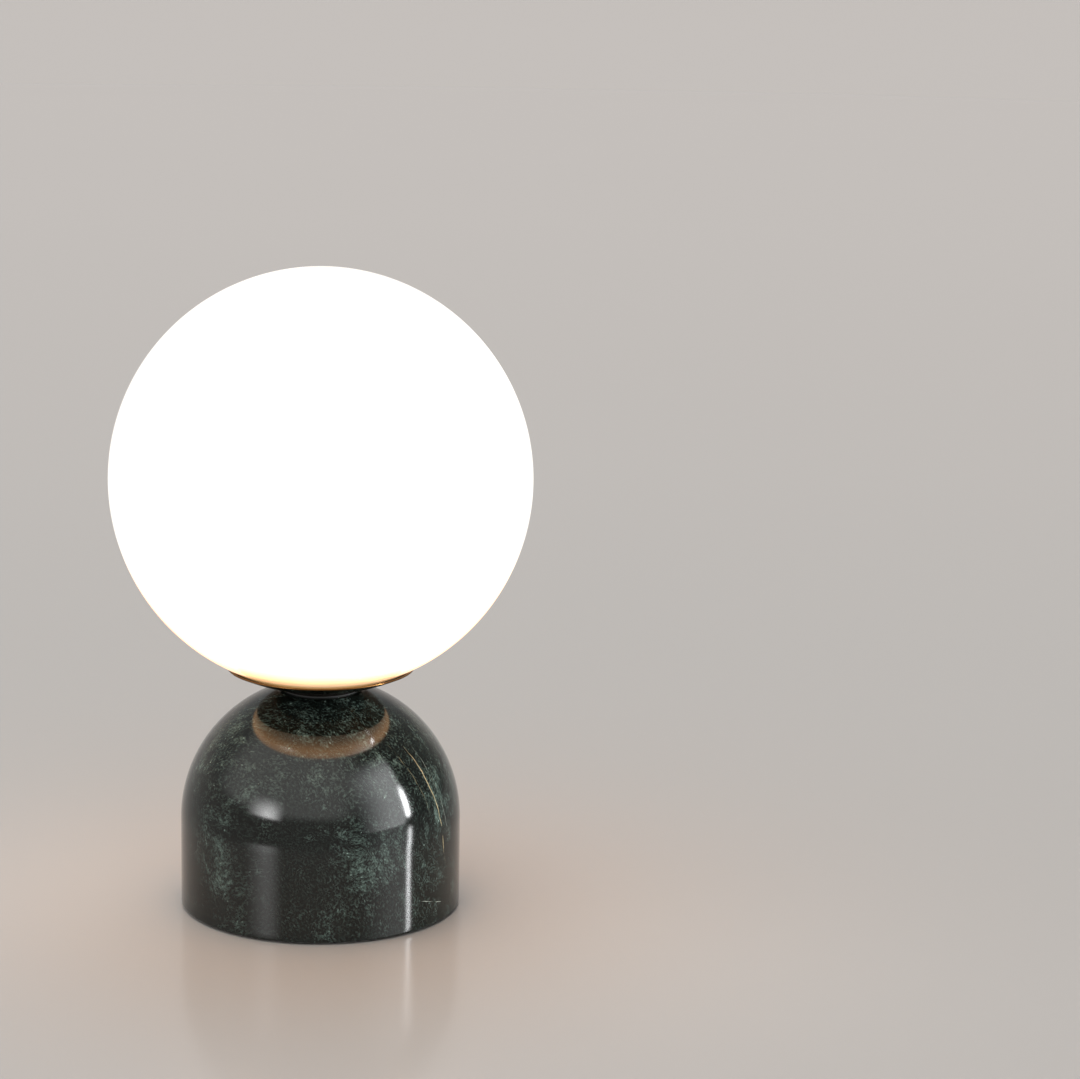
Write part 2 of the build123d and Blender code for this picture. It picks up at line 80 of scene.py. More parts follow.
HOLDER_R = 19.8
HOLDER_BORE_R = 17.6
HOLDER_MOUTH_R = 14.6
HOLDER_LIP_T = 1.6
HOLDER_LOW_Z = 128.0
HOLDER_TOP_Z = 165.0

# Grip ribs of the lampholder, which only the dressed lamp has
RIBS_LOW_Z = HOLDER_LOW_Z + 4.5
RIBS_HIGH_Z = HOLDER_TOP_Z - 14.0
RIB_R = 0.65
RIB_SINK = 0.15
RIB_COUNT = 44

# Camera, from the photograph
PHOTO_W = 1080.0
FOCAL_PX = 3500.0
CAMERA_PITCH = math.radians(12.83)
CAMERA_ROLL = math.radians(0.917)
CAMERA_DISTANCE = 1.6553
CAMERA_RIGHT = 0.10343
CAMERA_UP = 0.00037
CAMERA_AIM_Z = 0.180

# Light of the lit glass, from its mouth up: height in mm where each tone starts and is full, and the tone.
# The warm tones near the mouth are painted light and shade from the brass dish
GLOW_MOUTH = (0.62, 0.34, 0.11)
GLOW_TONES = (
    (116, 131, (5.2, 2.6, 1.0)),
    (142, 185, (1.55, 1.48, 1.36)),
)

# Studio: pale floor, a low backdrop of the same tone, a brighter ceiling and a broad lit area in front
FLOOR_TONE = (0.375, 0.355, 0.342)
HORIZON_TONE = (0.56, 0.525, 0.50)
CEILING_TONE = (0.44, 0.44, 0.436)
FRONT_TONE = (1.85, 1.84, 1.78)
FRONT_BEARING = (-0.44, -0.72, 0.54)

# The studio is darker at the right
HORIZON_RIGHT_TONE = (0.20, 0.19, 0.185)
CEILING_RIGHT_TONE = (0.20, 0.20, 0.198)

# Where its tones change, as parts of a direction of length 1: upwards, to the right, towards the lit area
CEILING_RISE = (0.17, 0.32)
FRONT_RISE = (0.17, 0.30)
HORIZON_DARKENS = (0.30, 0.75)
CEILING_DARKENS = (0.10, 0.70)
FRONT_SPREAD = (0.30, 0.80)

# The floor's radius and how far out the lamp panels stand, in metres, and the tints of their light
FLOOR_R = 30.0
STUDIO_R = 12.0
DAYLIGHT = (0.97, 0.99, 1.0)
PLAIN_WHITE = (1.0, 1.0, 1.0)

# Windows: bearing, elevation, width, height in degrees, radiance, that of the mirror image, soft edges, tint
WINDOWS = (
    ("window_right", 56, 26, 50, 56, 6.7, 1.3, (0.76, 0.10, 0.02, 0.35), DAYLIGHT),
    ("window_edge", 80.5, 14.5, 7, 25, 95.0, 26.0, (0.5, 0.5, 0.15, 0.5), DAYLIGHT),
    ("window_left", -45, 18.5, 36, 18, 25.0, 4.5, (0.85, 0.5, 0.12, 0.95), PLAIN_WHITE),
)

# Light for the floor: bearing, elevation, width, height in degrees, radiance, soft edges, tint
FLOOR_LIGHT = ("floor_light", 180, 65, 70, 60, 4.7, (0.5, 0.5, 0.5, 0.5), DAYLIGHT)

# Marble: the direction across its beds, and how far patterns reach that way, as a share of their length
BED_NORMAL = (0.373, 0.914, 0.162)
BED_SHARE = 0.55
MARBLE_GROUND = (0.0015, 0.0019, 0.0016)
MARBLE_GRAIN = (0.0100, 0.0148, 0.0126)
MARBLE_FLECK = (0.17, 0.235, 0.205)
GOLD_VEIN = (0.46, 0.38, 0.22)
PALE_VEIN = (0.34, 0.38, 0.33)

# Tones of the stone from dark to pale: density where each one starts, where it is full, and its colour
MARBLE_TONES = (
    (1.57, 1.92, (0.027, 0.040, 0.0345)),
    (1.80, 2.12, (0.082, 0.117, 0.102)),
)

# Areas that are richer or poorer in pale grains: middle and reach in mm, and the change of density
MARBLE_AREAS = (
    ((28, -60, 42), 22, 0.19),
    ((-47, -47, 33), 17, 0.10),
    ((-4, -66, 54), 19, -0.24),
    ((-32, -58, 50), 13, -0.18),
    ((57, -31, 64), 17, 0.05),
    ((55, -38, 26), 12, 0.10),
    ((-34, 57, 56), 26, 0.16),
    ((38, 55, 34), 24, 0.18),
    ((64, 18, 66), 22, 0.12),
    ((-64, 16, 24), 20, 0.14),
)

# Veins: normal of the sheet, offset and half width in mm, colour, strength, middle and reach in mm
MARBLE_VEINS = (
    (BED_NORMAL, 1.5, 0.42, GOLD_VEIN, 0.8, (55, -33, 58), 34),
    (BED_NORMAL, 6.0, 0.26, PALE_VEIN, 0.4, (58, -24, 62), 30),
    (BED_NORMAL, -5.5, 0.24, GOLD_VEIN, 0.22, (50, -40, 76), 24),
    ((0.144, 0.218, 0.965), 11.8, 0.26, PALE_VEIN, 0.8, (55, -37, 12.4), 11),
    ((-0.52, 0.31, 0.79), 61.0, 0.26, PALE_VEIN, 0.5, (-50, 30, 60), 60),
    ((0.30, -0.86, 0.41), 5.0, 0.40, GOLD_VEIN, 0.6, (-20, 60, 50), 70),
    ((0.90, 0.35, 0.25), 30.0, 0.24, PALE_VEIN, 0.5, (35, 55, 40), 60),
)


# Nodes


def feed(tree, socket, value):
    """Links a socket to another one, or sets its plain value."""
    if isinstance(value, bpy.types.NodeSocket):
        tree.links.new(value, socket)
    else:
        socket.default_value = value


def add(tree, kind, inputs=None, **settings):
    """Adds a node with its settings, and links or sets its inputs."""
    node = tree.nodes.new(kind)
    for key, value in settings.items():
        setattr(node, key, value)
    for key, value in (inputs or {}).items():
        feed(tree, node.inputs[key], value)
    return node


def math_node(tree, operation, a, b=0.0, c=0.0, clamp=False):
    """Result socket of a math node."""
    return add(tree, "ShaderNodeMath", {0: a, 1: b, 2: c}, operation=operation, use_clamp=clamp).outputs[0]


def noise(tree, spot, scale, detail, rough=0.5):
    """Result socket of a noise pattern, with its scale per metre."""
    values = {"Vector": spot, "Scale": scale, "Detail": detail, "Roughness": rough}
    return add(tree, "ShaderNodeTexNoise", values).outputs[0]


def noise_along(tree, length, scale, detail):
    """Result socket of a noise pattern that changes along one length only."""
    values = {"W": length, "Scale": scale, "Detail": detail}
    return add(tree, "ShaderNodeTexNoise", values, noise_dimensions="1D").outputs[0]


def fade(tree, value, low, high):
    """Smooth step of a value between two limits, from 0 to 1."""
    node = add(tree, "ShaderNodeMapRange", {"Value": value, "From Min": low, "From Max": high})
    node.interpolation_type = "SMOOTHSTEP"
    return node.outputs["Result"]


def fade_out(tree, value, low, high):
    """Smooth step of a value between two limits, from 1 to 0."""
    return math_node(tree, "SUBTRACT", 1.0, fade(tree, value, low, high))


def swing(tree, pattern, amount):
    """A pattern of 0 to 1, centred on 0 and multiplied by an amount."""
    return math_node(tree, "MULTIPLY", math_node(tree, "SUBTRACT", pattern, 0.5), amount)


def colour(rgb):
    """Linear colour with alpha."""
    return (*rgb, 1.0)


def blend_colour(tree, factor, a, b, mode="MIX"):
    """Result socket of a colour mix."""
    node = add(tree, "ShaderNodeMix", data_type="RGBA", blend_type=mode)
    for index, value in ((0, factor), (6, a), (7, b)):
        feed(tree, node.inputs[index], value)
    return node.outputs[2]


def ramp(tree, value, low, high):
    """Straight blend between two stops, each of them a position and a colour."""
    node = add(tree, "ShaderNodeValToRGB", {"Fac": value})
    for point, (position, tone) in zip(node.color_ramp.elements, (low, high)):
        point.position = position
        point.color = colour(tone)
    return node.outputs["Color"]


def surface(name, base, roughness, metallic=0.0, ior=1.5, coat=0.0):
    """New material with a Principled shader. Returns the material, its tree and its shader."""
    material = bpy.data.materials.new(name)
    material.use_nodes = True
    tree = material.node_tree
    shader = tree.nodes["Principled BSDF"]
    shader.inputs["Base Color"].default_value = colour(base)
    shader.inputs["Roughness"].default_value = roughness
    shader.inputs["Metallic"].default_value = metallic
    shader.inputs["IOR"].default_value = ior
    shader.inputs["Coat Weight"].default_value = coat
    return material, tree, shader


def object_spot(tree):
    """Object coordinates, on which all patterns lie."""
    return add(tree, "ShaderNodeTexCoord").outputs["Object"]


def height_of(tree, spot):
    """Height of a spot."""
    return add(tree, "ShaderNodeSeparateXYZ", {"Vector": spot}).outputs["Z"]


def bump(tree, shader, height, depth, strength):
    """Bump from a height pattern, with its depth in mm."""
    node = add(tree, "ShaderNodeBump", {"Height": height, "Strength": strength, "Distance": depth * MM})
    tree.links.new(node.outputs["Normal"], shader.inputs["Normal"])


# Effects that finishes share


def make_group(name, inputs, outputs):
    """Empty shader node group. Inputs are (name, kind, default) and outputs (name, kind)."""
    group = bpy.data.node_groups.new(name, "ShaderNodeTree")
    for label, kind, default in inputs:
        socket = group.interface.new_socket(label, in_out="INPUT", socket_type=kind)
        if default is not None:
            socket.default_value = default
    for label, kind in outputs:
        group.interface.new_socket(label, in_out="OUTPUT", socket_type=kind)
    return group, group.nodes.new("NodeGroupInput"), group.nodes.new("NodeGroupOutput")


def use_group(tree, group, **inputs):
    """Places a node group in a material, with its own values."""
    node = add(tree, "ShaderNodeGroup", node_tree=group)
    for key, value in inputs.items():
        feed(tree, node.inputs[key.replace("_", " ")], value)
    return node


def fine_haze_group():
    """Small changes of roughness from handling: a broad haze and fine dust."""
    inputs = [
        ("Vector", "NodeSocketVector", None),
        ("Base", "NodeSocketFloat", 0.1),
        ("Spread", "NodeSocketFloat", 0.05),
    ]
    group, source, sink = make_group("fine_haze", inputs, [("Roughness", "NodeSocketFloat")])
    spot = source.outputs["Vector"]
    broad = noise(group, spot, scale=35.0, detail=4.0)
    fine = noise(group, spot, scale=900.0, detail=2.0)
    both = math_node(group, "MULTIPLY", broad, 0.7)
    both = math_node(group, "MULTIPLY_ADD", fine, 0.3, both)
    change = swing(group, both, source.outputs["Spread"])
    total = math_node(group, "ADD", change, source.outputs["Base"], clamp=True)
    group.links.new(total, sink.inputs["Roughness"])
    return group


def turned_lines_group():
    """Fine rings left by a lathe or a spinning tool, about the Z axis."""
    inputs = [("Vector", "NodeSocketVector", None), ("Lines per metre", "NodeSocketFloat", 4000.0)]
    group, source, sink = make_group("turned_lines", inputs, [("Height", "NodeSocketFloat")])
    split = add(group, "ShaderNodeSeparateXYZ", {"Vector": source.outputs["Vector"]})
    x2 = math_node(group, "MULTIPLY", split.outputs["X"], split.outputs["X"])
    y2 = math_node(group, "MULTIPLY", split.outputs["Y"], split.outputs["Y"])
    radius = math_node(group, "SQRT", math_node(group, "ADD", x2, y2))
    along = math_node(group, "ADD", radius, split.outputs["Z"])
    steps = math_node(group, "MULTIPLY", along, source.outputs["Lines per metre"])
    group.links.new(noise_along(group, steps, scale=1.0, detail=3.0), sink.inputs["Height"])
    return group


FINE_HAZE = fine_haze_group()
TURNED_LINES = turned_lines_group()


def haze_over(tree, shader, spot, base, spread):
    """Roughness of a handled surface, that varies about its base value."""
    haze = use_group(tree, FINE_HAZE, Vector=spot, Base=base, Spread=spread)
    tree.links.new(haze.outputs["Roughness"], shader.inputs["Roughness"])


# Finishes


def drifted(tree, flat):
    """Coordinates that drift slowly, so that clouds and beds don't run quite straight."""
    drift = add(tree, "ShaderNodeTexNoise", {"Vector": flat, "Scale": 16.0, "Detail": 3.0}).outputs["Color"]
    centred = add(tree, "ShaderNodeVectorMath", {0: drift, 1: (0.5, 0.5, 0.5)}, operation="SUBTRACT")
    shift = add(tree, "ShaderNodeVectorMath", {0: centred.outputs[0], "Scale": 30 * MM}, operation="SCALE")
    return add(tree, "ShaderNodeVectorMath", {0: flat, 1: shift.outputs[0]}, operation="ADD").outputs[0]


def laid_in_beds(tree, spot):
    """Coordinates turned and squeezed so that patterns on them lie flat in the beds."""
    beds = add(tree, "ShaderNodeMapping", {"Vector": spot}, vector_type="TEXTURE")
    beds.inputs["Rotation"].default_value = Vector(BED_NORMAL).to_track_quat("Z", "Y").to_euler()
    beds.inputs["Scale"].default_value = (1.0, 1.0, BED_SHARE)
    return beds.outputs[0]


def near_mask(tree, spot, centre, reach):
    """Mask that fades out at a distance from a point, both in mm."""
    away = add(tree, "ShaderNodeVectorMath", {0: spot, 1: Vector(centre) * MM}, operation="DISTANCE")
    return fade_out(tree, away.outputs["Value"], 0.5 * reach * MM, reach * MM)


def grain_density_and_light(tree, flat, warped, bedded, grain):
    """How rich the stone is in pale grains: clouds, layers and the placed areas, plus painted light that
    makes the dome paler than the straight side, as if lit from above.
    """
    across = add(tree, "ShaderNodeVectorMath", {0: warped, 1: BED_NORMAL}, operation="DOT_PRODUCT")
    shares = (
        (noise(tree, warped, scale=30.0, detail=3.0), 0.8),
        (noise(tree, bedded, scale=135.0, detail=4.0, rough=0.6), 0.9),
        (noise_along(tree, across.outputs["Value"], scale=150.0, detail=2.0), 0.35),
        # Painted light: the stone turns paler from 30 to 75 mm up, for the light that falls on the dome from
        # above
        (fade(tree, height_of(tree, flat), 30 * MM, 75 * MM), 0.12),
    )
    contrast = 1.35
    density_and_light = math_node(tree, "MULTIPLY_ADD", grain, contrast, 0.5 - 0.5 * contrast)
    for pattern, share in shares:
        density_and_light = math_node(tree, "MULTIPLY_ADD", pattern, share, density_and_light)
    for centre, reach, change in MARBLE_AREAS:
        density_and_light = math_node(tree, "MULTIPLY_ADD", near_mask(tree, flat, centre, reach), change, density_and_light)
    return density_and_light


def fleck_mask(tree, warped, density_and_light):
    """Mask of the brightest grains: a few fine cells, where the stone is rich in them."""
    cells = add(tree, "ShaderNodeTexVoronoi", {"Vector": warped, "Scale": 560.0})
    chance = add(tree, "ShaderNodeSeparateColor", {"Color": cells.outputs["Color"]}).outputs[0]
    middle = fade_out(tree, cells.outputs["Distance"], 0.10, 0.38)
    fleck = math_node(tree, "MULTIPLY", fade(tree, chance, 0.86, 0.95), middle)
    return math_node(tree, "MULTIPLY", fleck, fade(tree, density_and_light, 1.55, 1.95))


def vein_mask(tree, spot, normal, offset, half_width, wobble):
    """Mask of a mineral sheet through the stone, about the plane normal . p = offset."""
    across = add(tree, "ShaderNodeVectorMath", {0: spot, 1: normal}, operation="DOT_PRODUCT")
    distance = math_node(tree, "SUBTRACT", across.outputs["Value"], offset)
    bent = math_node(tree, "ABSOLUTE", math_node(tree, "ADD", distance, wobble))
    return fade_out(tree, bent, 0.0, half_width)


def lay_veins(tree, flat, stone):
    """Stone colour with the veins over it: they wander a little, and break up."""
    wobble = swing(tree, noise(tree, flat, scale=55.0, detail=4.0, rough=0.6), 3.5 * MM)
    broken = fade(tree, noise(tree, flat, scale=170.0, detail=3.0, rough=0.6), 0.34, 0.60)
    for normal, offset, half_width, tint, share, centre, reach in MARBLE_VEINS:
        mask = vein_mask(tree, flat, normal, offset * MM, half_width * MM, wobble)
        mask = math_node(tree, "MULTIPLY", mask, near_mask(tree, flat, centre, reach))
        mask = math_node(tree, "MULTIPLY", mask, math_node(tree, "MULTIPLY", broken, share))
        stone = blend_colour(tree, mask, stone, colour(tint))
    return stone


def green_marble():
    """Polished green marble, laid in beds: black-green ground, mottled clouds, grains, fine veins, and a dome
    painted paler as if lit from above.
    """
    material, tree, shader = surface("green_marble", (0.01, 0.02, 0.015), 0.07, ior=1.39)
    flat = object_spot(tree)
    warped = drifted(tree, flat)
    bedded = laid_in_beds(tree, warped)
    grain = noise(tree, bedded, scale=700.0, detail=4.0, rough=0.7)
    density_and_light = grain_density_and_light(tree, flat, warped, bedded, grain)

    stone = blend_colour(tree, fade(tree, grain, 0.42, 0.66), colour(MARBLE_GROUND), colour(MARBLE_GRAIN))
    for start, full, tone in MARBLE_TONES:
        stone = blend_colour(tree, fade(tree, density_and_light, start, full), stone, colour(tone))
    stone = blend_colour(tree, fleck_mask(tree, warped, density_and_light), stone, colour(MARBLE_FLECK))
    stone = lay_veins(tree, flat, stone)
    tree.links.new(stone, shader.inputs["Base Color"])

    haze_over(tree, shader, flat, base=0.085, spread=0.07)
    pits = fade(tree, noise(tree, flat, scale=1500.0, detail=2.0), 0.30, 0.42)
    bump(tree, shader, pits, depth=0.01, strength=0.3)
    return material


def opal_glass():
    """Blown opal glass, lit from inside: even, a little warmer and dimmer near its mouth, where warm light
    and shade from the brass dish are painted in.
    """
    material, tree, shader = surface("opal_glass", (0.90, 0.88, 0.84), 0.12, coat=1.0)
    flat = object_spot(tree)
    cloud = noise(tree, flat, scale=9.0, detail=6.0)
    level = math_node(tree, "ADD", height_of(tree, flat), swing(tree, cloud, 8 * MM))
    glow = colour(GLOW_MOUTH)
    # Painted light: the glass glows warmer near its mouth, for the dish's warm reflected light, and dimmer at
    # the mouth, for the dish's shade
    for start, full, tone in GLOW_TONES:
        glow = blend_colour(tree, fade(tree, level, start * MM, full * MM), glow, colour(tone))
    cloudiness = 0.16
    milk = math_node(tree, "MULTIPLY_ADD", cloud, cloudiness, 1 - 0.5 * cloudiness)
    grey = add(tree, "ShaderNodeCombineColor", {0: milk, 1: milk, 2: milk}).outputs[0]
    glow = blend_colour(tree, 1.0, glow, grey, "MULTIPLY")
    tree.links.new(glow, shader.inputs["Emission Color"])
    shader.inputs["Emission Strength"].default_value = 1.0
    haze_over(tree, shader, flat, base=0.10, spread=0.06)
    bump(tree, shader, cloud, depth=0.2, strength=0.15)
    return material


def metal(name, base, dark, roughness, spread, lines=4000):
    """Metal with fine turned or rolled lines, haze and slightly darker patches."""
    material, tree, shader = surface(name, base, roughness, metallic=1.0)
    flat = object_spot(tree)
    patch = noise(tree, flat, scale=60.0, detail=5.0)
    tint = blend_colour(tree, fade(tree, patch, 0.35, 0.68), colour(dark), colour(base))
    tree.links.new(tint, shader.inputs["Base Color"])
    haze_over(tree, shader, flat, roughness, spread)
    rings = use_group(tree, TURNED_LINES, Vector=flat, Lines_per_metre=lines)
    bump(tree, shader, rings.outputs["Height"], depth=0.006, strength=0.6)
    return material


def moulded(name, base, shade, roughness, coat=0.0):
    """Moulded plastic, rubber or ceramic: fine grain, and colour that varies a little."""
    material, tree, shader = surface(name, base, roughness, coat=coat)
    flat = object_spot(tree)
    patch = noise(tree, flat, scale=70.0, detail=4.0)
    tint = blend_colour(tree, fade(tree, patch, 0.3, 0.7), colour(shade), colour(base))
    tree.links.new(tint, shader.inputs["Base Color"])
    haze_over(tree, shader, flat, roughness, spread=0.12)
    grain = noise(tree, flat, scale=1800.0, detail=2.0)
    bump(tree, shader, grain, depth=0.015, strength=0.5)
    return material


def felt():
    """Pressed black felt: short crossed fibres."""
    material, tree, shader = surface("black_felt", (0.02, 0.02, 0.02), 0.95)
    values = {"Vector": object_spot(tree), "Scale": 1400.0, "Detail": 5.0, "Distortion": 2.5}
    fibres = add(tree, "ShaderNodeTexNoise", values).outputs[0]
    tint = ramp(tree, fibres, (0.35, (0.010, 0.010, 0.010)), (0.65, (0.055, 0.054, 0.052)))
    tree.links.new(tint, shader.inputs["Base Color"])
    shader.inputs["Sheen Weight"].default_value = 0.3
    bump(tree, shader, fibres, depth=0.3, strength=0.8)
    return material


def glowing(name, base, glow, strength):
    """Frosted or phosphor surface that gives light."""
    roughness = 0.35
    material, tree, shader = surface(name, base, roughness)
    flat = object_spot(tree)
    cloud = noise(tree, flat, scale=120.0, detail=3.0)
    dimmer = [0.93 * c for c in glow]
    tint = blend_colour(tree, fade(tree, cloud, 0.3, 0.7), colour(dimmer), colour(glow))
    tree.links.new(tint, shader.inputs["Emission Color"])
    shader.inputs["Emission Strength"].default_value = strength
    haze_over(tree, shader, flat, roughness, spread=0.1)
    return material


def pale_floor():
    """Plain pale floor with a soft sheen."""
    material, tree, shader = surface("pale_floor", FLOOR_TONE, 0.15, ior=1.4)
    cloud = noise(tree, object_spot(tree), scale=1.5, detail=3.0)
    darker = [0.985 * c for c in FLOOR_TONE]
    tint = blend_colour(tree, cloud, colour(darker), colour(FLOOR_TONE))
    tree.links.new(tint, shader.inputs["Base Color"])
    return material


# Shapes


def add_object(name, data):
    """New object in the scene."""
    thing = bpy.data.objects.new(name, data)
    bpy.context.scene.collection.objects.link(thing)
    return thing


def smooth(mesh, sharp_angle):
    """Shades a mesh smooth but for edges sharper than an angle in degrees."""
    mesh.shade_smooth()
    mesh.set_sharp_from_angle(angle=math.radians(sharp_angle))


def made_plain(piece):
    """Turns a piece and its modifiers into a plain mesh, which is returned."""
    mesh = bpy.data.meshes.new_from_object(piece.evaluated_get(bpy.context.evaluated_depsgraph_get()))
    piece.modifiers.clear()
    piece.data = mesh
    mesh.name = piece.name
    return mesh


def arc(centre, radius, start, end, steps):
    """Points of an arc in (radius, height), with angles in degrees from the outward direction."""
    angles = [math.radians(start + (end - start) * i / steps) for i in range(steps + 1)]
    return [(centre[0] + radius * math.cos(a), centre[1] + radius * math.sin(a)) for a in angles]


def below_globe(radius, r):
    """Height at which a sphere about the globe's centre has the radius r, below the centre."""
    return GLOBE_Z - math.sqrt(radius**2 - r**2)


def globe_angle(radius, r):
    """Angle at the globe's centre of the point of radius r, below the centre."""
    return -math.degrees(math.acos(r / radius))


def turned(name, outline, steps):
    """Closed skin turned about the lamp's axis from a closed outline of (radius, height) in mm."""
    form = bmesh.new()
    angles = [2 * math.pi * k / steps for k in range(steps)]
    rows = []
    for r, z in outline:
        around = angles if r > 0 else [0.0]
        spots = [(r * math.cos(a) * MM, r * math.sin(a) * MM, z * MM) for a in around]
        rows.append([form.verts.new(spot) for spot in spots])
    for low, high in zip(rows, rows[1:] + rows[:1]):
        if len(low) == 1 and len(high) == 1:
            continue
        for k in range(steps):
            n = (k + 1) % steps
            ring = [low[k % len(low)], low[n % len(low)], high[n % len(high)], high[k % len(high)]]
            form.faces.new(list(dict.fromkeys(ring)))
    bmesh.ops.recalc_face_normals(form, faces=form.faces)
    mesh = bpy.data.meshes.new(name)
    form.to_mesh(mesh)
    form.free()
    smooth(mesh, sharp_angle=35.0)
    return add_object(name, mesh)


def bar_along_y(name, radius, start, end, z):
    """Round bar along Y, as a cutter."""
    bar = turned(name, [(0, start), (radius, start), (radius, end), (0, end)], steps=96)
    bar.data.transform(Matrix.Translation((0, 0, z * MM)) @ Matrix.Rotation(math.radians(-90), 4, "X"))
    return bar


def cut(piece, cutters):
    """Takes the cutters out of a piece and removes them."""
    for cutter in cutters:
        modifier = piece.modifiers.new("cut", "BOOLEAN")
        modifier.operation = "DIFFERENCE"
        modifier.solver = "EXACT"
        modifier.object = cutter
    smooth(made_plain(piece), sharp_angle=12.0)
    for cutter in cutters:
        bpy.data.objects.remove(cutter)
    return piece


# Pieces


def marble_block():
    """The stone: softened edges, the wiring recess, and the inlet hole behind.

    Rows of points down its straight side keep the faces there short."""
    edge = 0.9
    side_rows = (36, 30, 24, 18, 12, 7, 4)
    inside_y, outside_y = 20, 75
    flat_r = math.sqrt(BASE_R**2 - (BASE_TOP_Z - BASE_SHOULDER_Z) ** 2)
    top_angle = math.degrees(math.acos(flat_r / BASE_R))
    outline = [(BORE_R, BASE_TOP_Z)]
    outline += arc((0, BASE_SHOULDER_Z), BASE_R, top_angle, 0, 96)
    outline += [(BASE_R, z) for z in side_rows]
    outline += arc((BASE_R - edge, BASE_LOW_Z + edge), edge, 0, -90, 10)
    outline += [
        (COVER_SEAT_R, BASE_LOW_Z),
        (COVER_SEAT_R, COVER_SEAT_Z),
        (RECESS_R, COVER_SEAT_Z),
        (RECESS_R, RECESS_TOP_Z),
        (BORE_R, RECESS_TOP_Z),
    ]
    stone = turned("base_stone", outline, steps=288)
    inlet_hole = bar_along_y("inlet_hole", INLET_HOLE_R, inside_y, outside_y, INLET_Z)
    inlet_seat = bar_along_y("inlet_seat", INLET_SEAT_R, INLET_SEAT_Y, outside_y, INLET_Z)
    return cut(stone, [inlet_hole, inlet_seat])


def glass_ball():
    """The globe: one wall of glass, with a fire-polished mouth. Both skins end exactly on the axis."""
    inner_r = GLOBE_R - GLASS_WALL
    lip_r = GLOBE_MOUTH_R + 1.3
    outside = arc((0, GLOBE_Z), GLOBE_R, globe_angle(GLOBE_R, lip_r), 90, 120)
    outside[-1] = (0.0, GLOBE_Z + GLOBE_R)
    inside = arc((0, GLOBE_Z), inner_r, 90, globe_angle(inner_r, lip_r), 90)
    inside[0] = (0.0, GLOBE_Z + inner_r)
    top = below_globe(inner_r, GLOBE_MOUTH_R)
    low = below_globe(GLOBE_R, GLOBE_MOUTH_R)
    mouth = [(GLOBE_MOUTH_R + back, top - down) for back, down in ((0.45, 0.15), (0.08, 0.75))]
    mouth += [(GLOBE_MOUTH_R, (top + low) / 2)]
    mouth += [(GLOBE_MOUTH_R + back, low + up) for back, up in ((0.10, 0.75), (0.50, 0.30))]
    return turned("globe_glass", outside + inside + mouth, steps=288)


def brass_bowl():
    """The spun dish: a pressed seat, bent up at its edge, a bowl, and a rim rounded at its tip."""
    centre = (0, GLOBE_Z)
    rim_out_r = DISH_RIM_R * DISH_OUT_R / DISH_IN_R
    rim_low, rim_high = below_globe(DISH_OUT_R, rim_out_r), below_globe(DISH_IN_R, DISH_RIM_R)
    rim_middle = ((rim_out_r + DISH_RIM_R) / 2, (rim_low + rim_high) / 2)
    tip_r, tip_trim = 0.4, 15
    lean = math.degrees(math.atan2(rim_high - rim_low, DISH_RIM_R - rim_out_r))
    outer_step, outer_rim = globe_angle(DISH_OUT_R, DISH_STEP_R), globe_angle(DISH_OUT_R, rim_out_r)
    inner_rim, inner_step = globe_angle(DISH_IN_R, DISH_RIM_R), globe_angle(DISH_IN_R, DISH_STEP_R - 0.4)
    outline = [(TUBE_R, DISH_SEAT_Z)]
    outline += [(DISH_SEAT_R + out, DISH_SEAT_Z + up) for out, up in ((-0.4, 0.0), (0.2, 0.15))]
    outline += arc(centre, DISH_OUT_R, outer_step, outer_rim, 48)
    outline += arc(rim_middle, tip_r, lean - 180 + tip_trim, lean - tip_trim, 8)
    outline += arc(centre, DISH_IN_R, inner_rim, inner_step, 48)
    outline += [(DISH_SEAT_R + out, DISH_FLOOR_Z + up) for out, up in ((-0.4, 0.1), (-1.0, 0.0))]
    outline += [(TUBE_R, DISH_FLOOR_Z)]
    return turned("spun_dish", outline, steps=256)


def holder_shell():
    """Outer shell of the lampholder: rounded lip around the bulb, a groove below the ribs, soft edges."""
    edge, shoulder = 0.4, 1.5
    groove = ((0.0, -2.4), (-0.5, -2.0), (-0.5, -1.4), (0.0, -1.0))
    lip_low_z = HOLDER_TOP_Z - HOLDER_LIP_T
    outline = [(HOLDER_BORE_R, HOLDER_LOW_Z)]
    outline += arc((HOLDER_R - edge, HOLDER_LOW_Z + edge), edge, -90, 0, 4)
    outline += [(HOLDER_R + out, RIBS_LOW_Z + up) for out, up in groove]
    outline += arc((HOLDER_R - shoulder, HOLDER_TOP_Z - shoulder), shoulder, 0, 90, 8)
    outline += arc((HOLDER_MOUTH_R + edge, HOLDER_TOP_Z - edge), edge, 90, 180, 4)
    outline += [(HOLDER_MOUTH_R, lip_low_z), (HOLDER_BORE_R, lip_low_z)]
    return turned("holder_shell", outline, steps=160)


def ring_of_copies():
    """Geometry node tree: copies of its input around a circle, made real, in one material."""
    tree = bpy.data.node_groups.new("ring_of_copies", "GeometryNodeTree")
    for label, kind in (
        ("Piece", "NodeSocketGeometry"),
        ("Count", "NodeSocketInt"),
        ("Circle radius", "NodeSocketFloat"),
        ("Finish", "NodeSocketMaterial"),
    ):
        tree.interface.new_socket(label, in_out="INPUT", socket_type=kind)
    tree.interface.new_socket("Geometry", in_out="OUTPUT", socket_type="NodeSocketGeometry")
    given = tree.nodes.new("NodeGroupInput").outputs
    sink = tree.nodes.new("NodeGroupOutput")
    size = {"Vertices": given["Count"], "Radius": given["Circle radius"]}
    circle = add(tree, "GeometryNodeMeshCircle", size).outputs["Mesh"]
    copies = add(tree, "GeometryNodeInstanceOnPoints", {"Points": circle, "Instance": given["Piece"]})
    real = add(tree, "GeometryNodeRealizeInstances", {"Geometry": copies.outputs["Instances"]})
    finish = {"Geometry": real.outputs["Geometry"], "Material": given["Finish"]}
    done = add(tree, "GeometryNodeSetMaterial", finish)
    tree.links.new(done.outputs["Geometry"], sink.inputs["Geometry"])
    return tree


